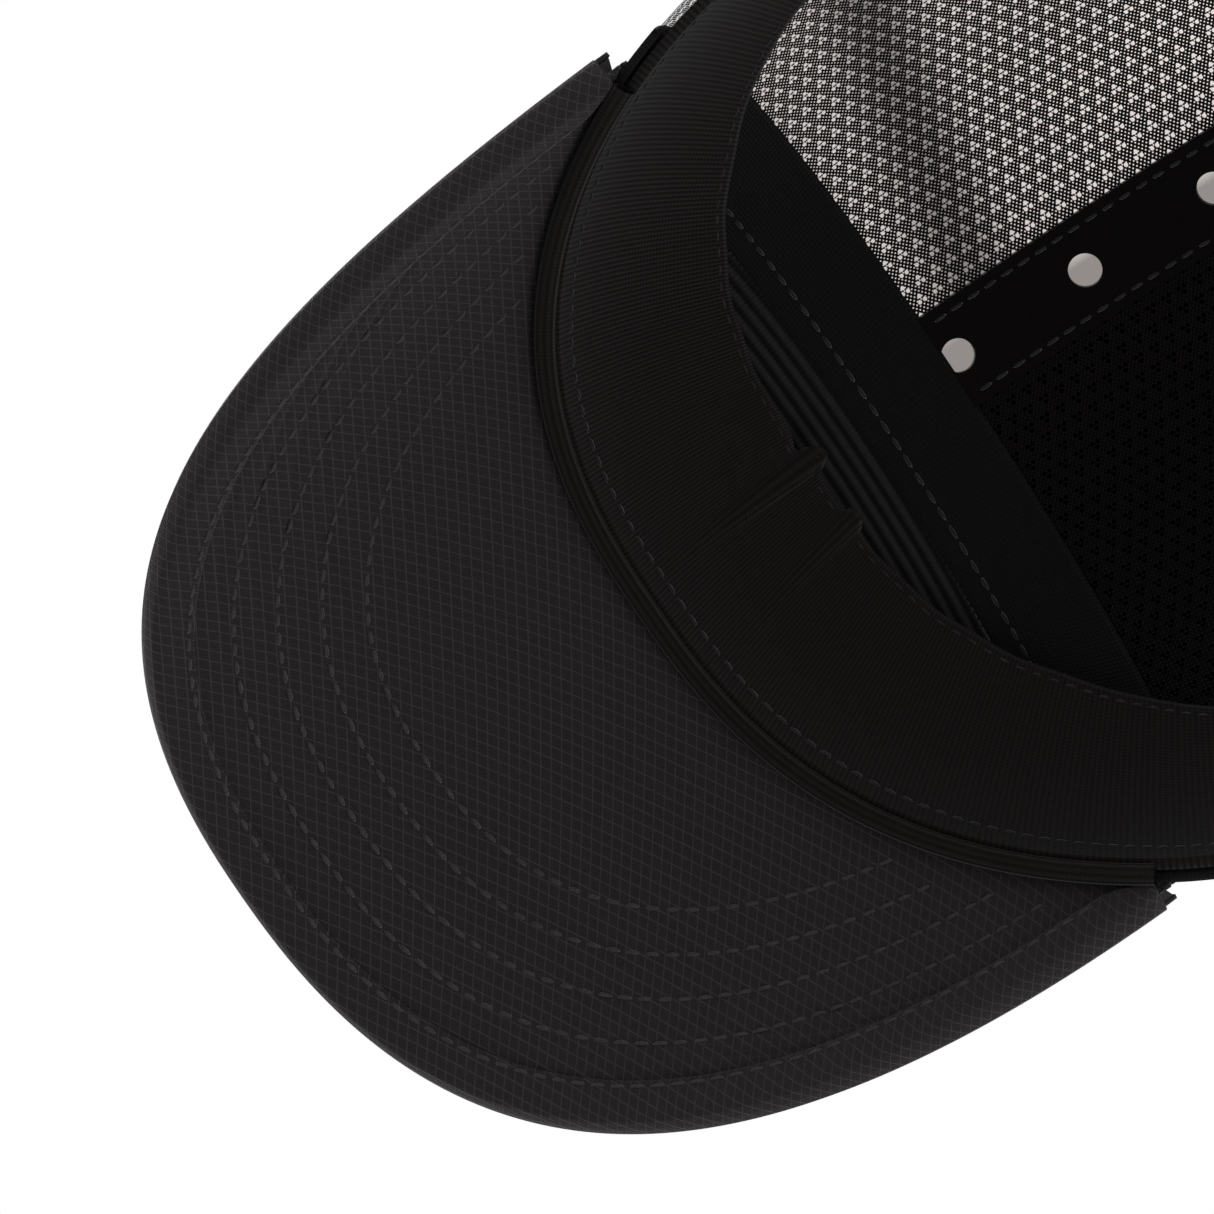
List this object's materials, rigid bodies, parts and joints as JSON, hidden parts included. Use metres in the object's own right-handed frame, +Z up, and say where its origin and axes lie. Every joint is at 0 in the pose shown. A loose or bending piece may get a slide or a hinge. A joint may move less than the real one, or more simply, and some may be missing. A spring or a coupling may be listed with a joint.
{
  "type": "soft peaked cap",
  "caption": "Black soft sports cap with a curved, row-stitched visor, ribbed front, mesh sides, punched centre strip, sweatband and rear strap closure",
  "frame": {"origin": "centre of the head opening, on the table plane the cap stands on", "axes": "front and visor towards -Y, wearer's left +X, +Z up"},
  "size_m": [0.146, 0.2617, 0.0891],
  "materials": {
    "stiffener": "smooth flexible sheet",
    "ripstop": "matt woven micro ripstop with fine lighter diamond lines",
    "thread": "tight sewing thread",
    "jersey": "soft fine jersey knit",
    "ribbed_knit": "ribbed knit",
    "plain_knit": "smooth knit",
    "tape": "dense woven tape",
    "mesh": "open eyelet mesh knit, see-through",
    "webbing": "narrow woven webbing",
    "hook_and_loop": "hook and loop tape",
    "ring": "moulded ring, low sheen"
  },
  "bodies": {
    "cap": {"visor_board": "stiffener", "visor_top_cover": "ripstop", "visor_bottom_cover": "ripstop", "visor_hem_stitch": "thread", "visor_stitch_row_inner": "thread", "visor_stitch_row_second": "thread", "visor_stitch_row_third": "thread", "visor_stitch_row_outer": "thread", "visor_seam_piping": "jersey", "front_ribbed_panel": "ribbed_knit", "cross_band": "plain_knit", "cross_band_stitch": "thread", "centre_strip": "tape", "centre_strip_left_stitch": "thread", "centre_strip_right_stitch": "thread", "left_mesh_panel": "mesh", "right_mesh_panel": "mesh", "sweatband": "jersey", "sweatband_lower_stitch": "thread", "sweatband_top_stitch": "thread", "rear_arch_binding": "tape", "closure_strap": "webbing", "closure_loop_patch": "hook_and_loop", "closure_ring_webbing": "webbing", "left_anchor_stitch": "thread", "right_anchor_stitch": "thread"},
    "ring": {"closure_ring": "ring"},
    "tab": {"closure_free_tab": "webbing", "closure_hook_patch": "hook_and_loop"}
  },
  "joints": [
    {"name": "strap_tab_peel", "type": "hinge", "parent": "cap", "child": "tab", "pos_m": [-0.02085, 0.10206, 0.01145], "axis": [0, 0.0323, 0.9995], "range_deg": [0, 110]},
    {"name": "ring_swing", "type": "hinge", "parent": "cap", "child": "ring", "pos_m": [-0.02956, 0.09645, 0.01164], "axis": [0, 0.0323, 0.9995], "range_deg": [-2, 2]}
  ]
}
